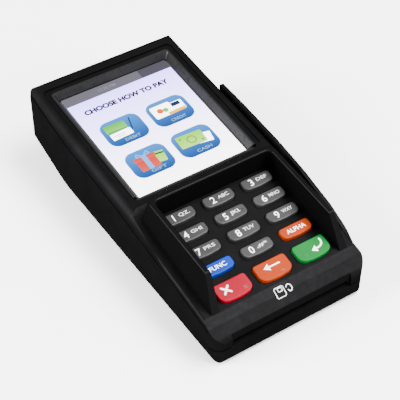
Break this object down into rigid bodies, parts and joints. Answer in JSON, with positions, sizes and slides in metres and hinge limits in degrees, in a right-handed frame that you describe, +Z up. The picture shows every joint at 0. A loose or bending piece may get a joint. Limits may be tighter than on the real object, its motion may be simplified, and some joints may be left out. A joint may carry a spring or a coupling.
{
  "type": "card payment terminal",
  "caption": "Countertop card payment terminal with a touch display, coloured keypad behind a privacy shield, side swipe rail and front chip-card slot.",
  "frame": {"origin": "centre of the bounding box in plan, on the table under the rubber feet", "axes": "+X to the customer's right, toward the swipe rail; +Y from the keypad to the display end; +Z up from the table"},
  "size_m": [0.0886, 0.1708, 0.0454],
  "materials": {
    "housing_plastic": "fine texture",
    "shield_plastic": "satin",
    "bezel_plastic": "semi-gloss",
    "display_glass": "gloss",
    "black_foam": "matt",
    "lcd_film": "gloss",
    "backlight_film": "matt",
    "spring_steel": "satin",
    "zinc_steel": "satin",
    "circuit_board": "satin",
    "silicone": "matt",
    "tinned_steel": "satin",
    "reader_plastic": "satin",
    "gold_contacts": "gloss",
    "white_plastic": "satin",
    "head_metal": "polished",
    "flex_film": "satin",
    "foot_rubber": "matt",
    "brass_insert": "satin",
    "key_grey": "satin",
    "key_blue": "satin",
    "key_orange": "satin",
    "key_red": "satin",
    "key_green": "satin"
  },
  "bodies": {
    "terminal": {"lower_housing": "housing_plastic", "upper_housing": "housing_plastic", "privacy_shield": "shield_plastic", "display_bezel": "bezel_plastic", "touch_glass": "display_glass", "display_gasket": "black_foam", "lcd_panel": "lcd_film", "lcd_backlight": "backlight_film", "lcd_carrier": "spring_steel", "lcd_carrier_screws": "zinc_steel", "contactless_antenna": "circuit_board", "keypad_membrane": "silicone", "keypad_domes": "spring_steel", "keypad_board": "circuit_board", "keypad_board_screws": "zinc_steel", "main_board": "circuit_board", "main_board_screws": "zinc_steel", "processor_can": "tinned_steel", "chip_reader_frame": "reader_plastic", "chip_contacts": "gold_contacts", "head_spring": "spring_steel", "head_spring_screws": "zinc_steel", "battery_holder": "reader_plastic", "backup_battery": "tinned_steel", "sam_sockets": "reader_plastic", "buzzer": "reader_plastic", "cable_port": "reader_plastic", "flex_connectors": "white_plastic", "display_flex": "flex_film", "keypad_flex": "flex_film", "rubber_feet": "foot_rubber", "housing_screws": "zinc_steel", "stand_inserts": "brass_insert"},
    "key_1_cap": {"key_1": "key_grey"},
    "key_2_cap": {"key_2": "key_grey"},
    "key_3_cap": {"key_3": "key_grey"},
    "key_4_cap": {"key_4": "key_grey"},
    "key_5_cap": {"key_5": "key_grey"},
    "key_6_cap": {"key_6": "key_grey"},
    "key_7_cap": {"key_7": "key_grey"},
    "key_8_cap": {"key_8": "key_grey"},
    "key_9_cap": {"key_9": "key_grey"},
    "key_0_cap": {"key_0": "key_grey"},
    "key_function_cap": {"key_function": "key_blue"},
    "key_alpha_cap": {"key_alpha": "key_orange"},
    "key_cancel_cap": {"key_cancel": "key_red"},
    "key_clear_cap": {"key_clear": "key_orange"},
    "key_enter_cap": {"key_enter": "key_green"},
    "head": {"magnetic_head": "head_metal"},
    "card_lever": {"card_detect_lever": "white_plastic"},
    "cover": {"bay_cover": "housing_plastic"}
  },
  "joints": [
    {"name": "key_1_press", "type": "slide", "parent": "terminal", "child": "key_1_cap", "axis": [0, 0.1754, -0.9845], "range_m": [0, 0.0009], "stiffness_N_per_m": 400},
    {"name": "key_2_press", "type": "slide", "parent": "terminal", "child": "key_2_cap", "axis": [0, 0.1754, -0.9845], "range_m": [0, 0.0009], "stiffness_N_per_m": 400},
    {"name": "key_3_press", "type": "slide", "parent": "terminal", "child": "key_3_cap", "axis": [0, 0.1754, -0.9845], "range_m": [0, 0.0009], "stiffness_N_per_m": 400},
    {"name": "key_4_press", "type": "slide", "parent": "terminal", "child": "key_4_cap", "axis": [0, 0.1754, -0.9845], "range_m": [0, 0.0009], "stiffness_N_per_m": 400},
    {"name": "key_5_press", "type": "slide", "parent": "terminal", "child": "key_5_cap", "axis": [0, 0.1754, -0.9845], "range_m": [0, 0.0009], "stiffness_N_per_m": 400},
    {"name": "key_6_press", "type": "slide", "parent": "terminal", "child": "key_6_cap", "axis": [0, 0.1754, -0.9845], "range_m": [0, 0.0009], "stiffness_N_per_m": 400},
    {"name": "key_7_press", "type": "slide", "parent": "terminal", "child": "key_7_cap", "axis": [0, 0.1754, -0.9845], "range_m": [0, 0.0009], "stiffness_N_per_m": 400},
    {"name": "key_8_press", "type": "slide", "parent": "terminal", "child": "key_8_cap", "axis": [0, 0.1754, -0.9845], "range_m": [0, 0.0009], "stiffness_N_per_m": 400},
    {"name": "key_9_press", "type": "slide", "parent": "terminal", "child": "key_9_cap", "axis": [0, 0.1754, -0.9845], "range_m": [0, 0.0009], "stiffness_N_per_m": 400},
    {"name": "key_0_press", "type": "slide", "parent": "terminal", "child": "key_0_cap", "axis": [0, 0.1754, -0.9845], "range_m": [0, 0.0009], "stiffness_N_per_m": 400},
    {"name": "key_function_press", "type": "slide", "parent": "terminal", "child": "key_function_cap", "axis": [0, 0.1754, -0.9845], "range_m": [0, 0.0009], "stiffness_N_per_m": 400},
    {"name": "key_alpha_press", "type": "slide", "parent": "terminal", "child": "key_alpha_cap", "axis": [0, 0.1754, -0.9845], "range_m": [0, 0.0009], "stiffness_N_per_m": 400},
    {"name": "key_cancel_press", "type": "slide", "parent": "terminal", "child": "key_cancel_cap", "axis": [0, 0.1754, -0.9845], "range_m": [0, 0.0009], "stiffness_N_per_m": 400},
    {"name": "key_clear_press", "type": "slide", "parent": "terminal", "child": "key_clear_cap", "axis": [0, 0.1754, -0.9845], "range_m": [0, 0.0009], "stiffness_N_per_m": 400},
    {"name": "key_enter_press", "type": "slide", "parent": "terminal", "child": "key_enter_cap", "axis": [0, 0.1754, -0.9845], "range_m": [0, 0.0009], "stiffness_N_per_m": 400},
    {"name": "head_float", "type": "slide", "parent": "terminal", "child": "head", "axis": [-1, 0, 0], "range_m": [0, 0.0006], "stiffness_N_per_m": 900},
    {"name": "card_lever_swing", "type": "hinge", "parent": "terminal", "child": "card_lever", "pos_m": [-0.0017, -0.0306, 0.0123], "axis": [1, 0, 0], "range_deg": [0, 20], "stiffness_Nm_per_rad": 0.004},
    {"name": "bay_cover_slide", "type": "slide", "parent": "terminal", "child": "cover", "axis": [0, 0.9588, 0.284], "range_m": [0, 0.01]}
  ]
}
